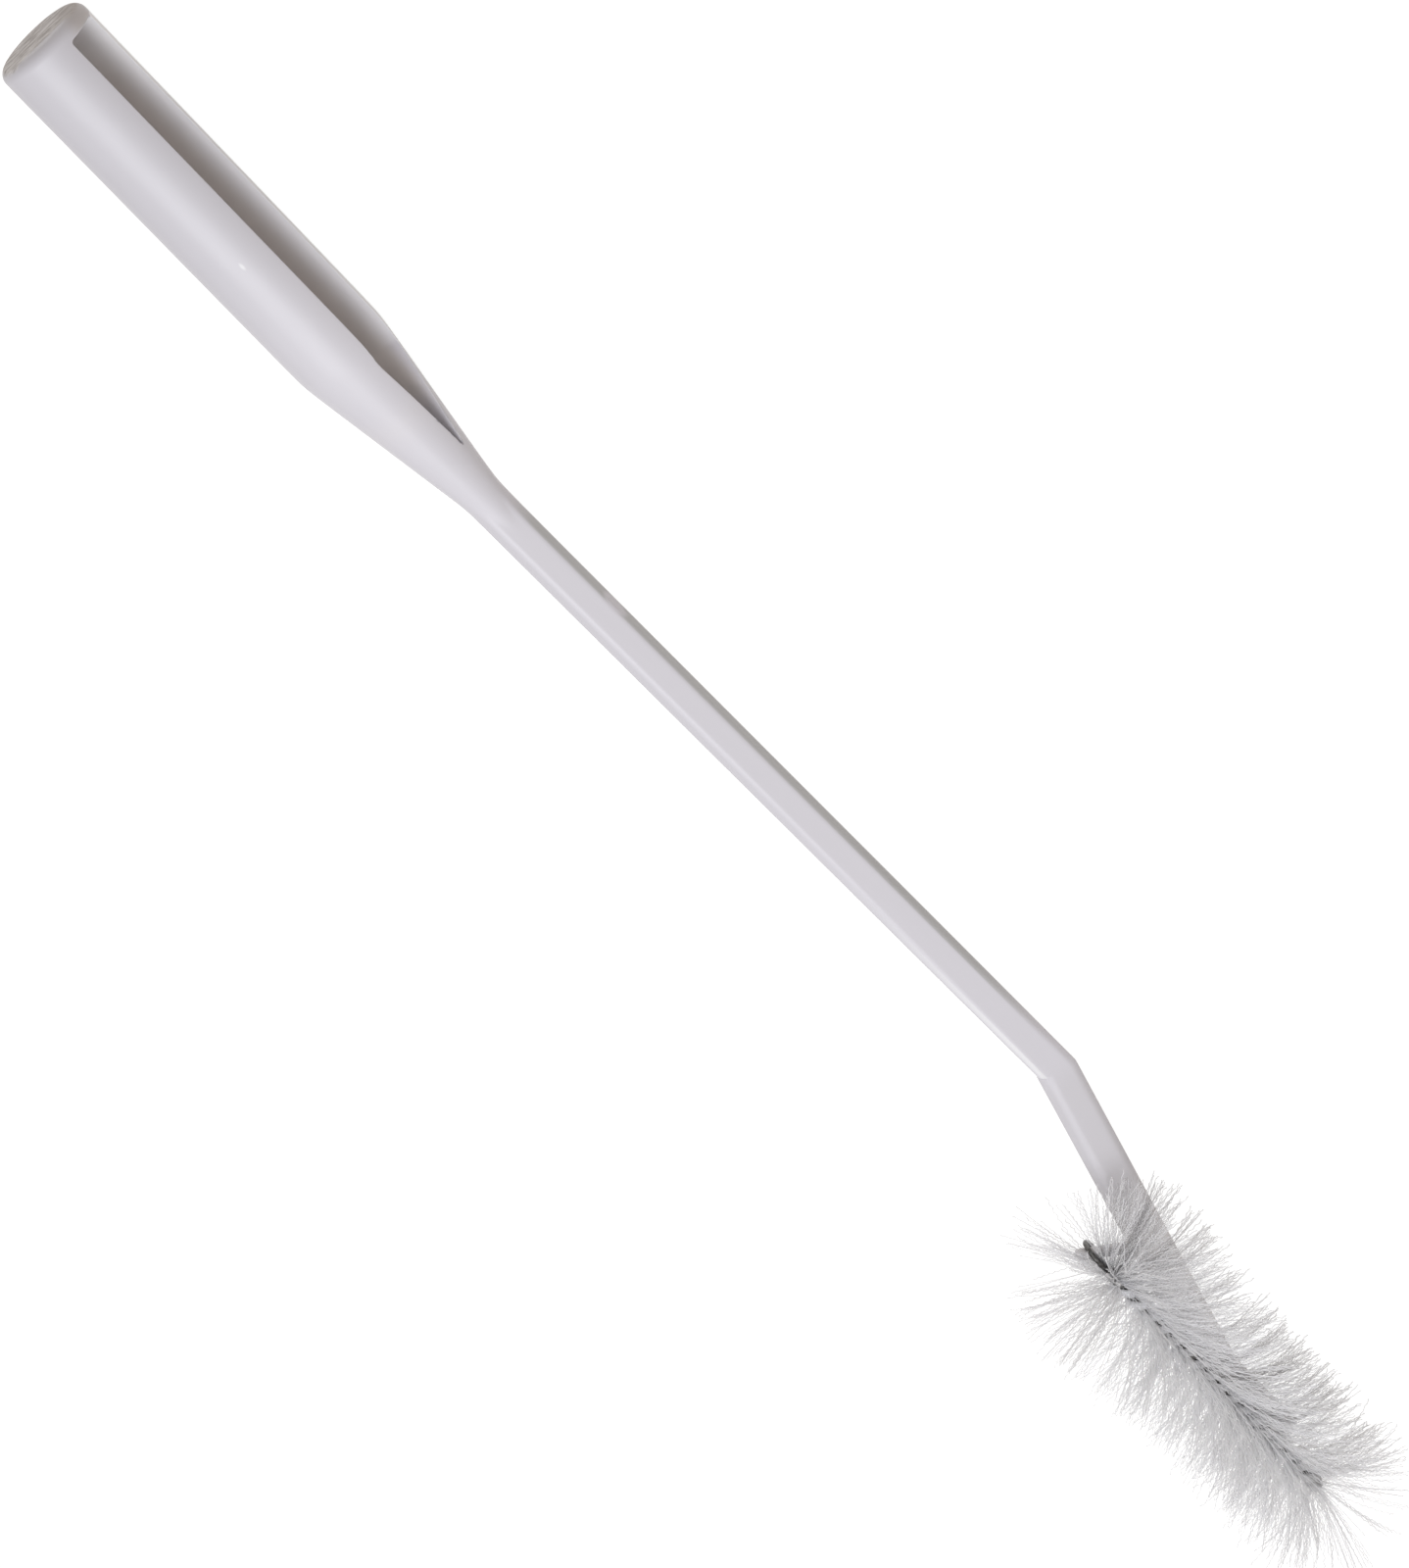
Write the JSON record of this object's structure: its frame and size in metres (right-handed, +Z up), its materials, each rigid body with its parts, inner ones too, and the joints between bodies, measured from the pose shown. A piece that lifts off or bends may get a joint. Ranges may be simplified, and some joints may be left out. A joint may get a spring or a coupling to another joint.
{
  "type": "bottle brush",
  "caption": "Long-handled bottle brush: a moulded handle with a channelled grip and cranked arm carries a twisted-wire brush with crimped bristles.",
  "frame": {"origin": "middle of the brush's footprint, on the surface that it lies on", "axes": "+X along the handle from the grip's end to the brush, +Y the side that the grip's channel opens to, +Z up as the brush lies at rest on its grip, elbow and bristles"},
  "size_m": [0.4445, 0.0484, 0.0423],
  "materials": {
    "handle_plastic": "satin",
    "wire_steel": "satin",
    "bristle_nylon": "satin"
  },
  "bodies": {
    "root": {"handle": "handle_plastic", "wire_core": "wire_steel", "bristles": "bristle_nylon"}
  },
  "joints": []
}
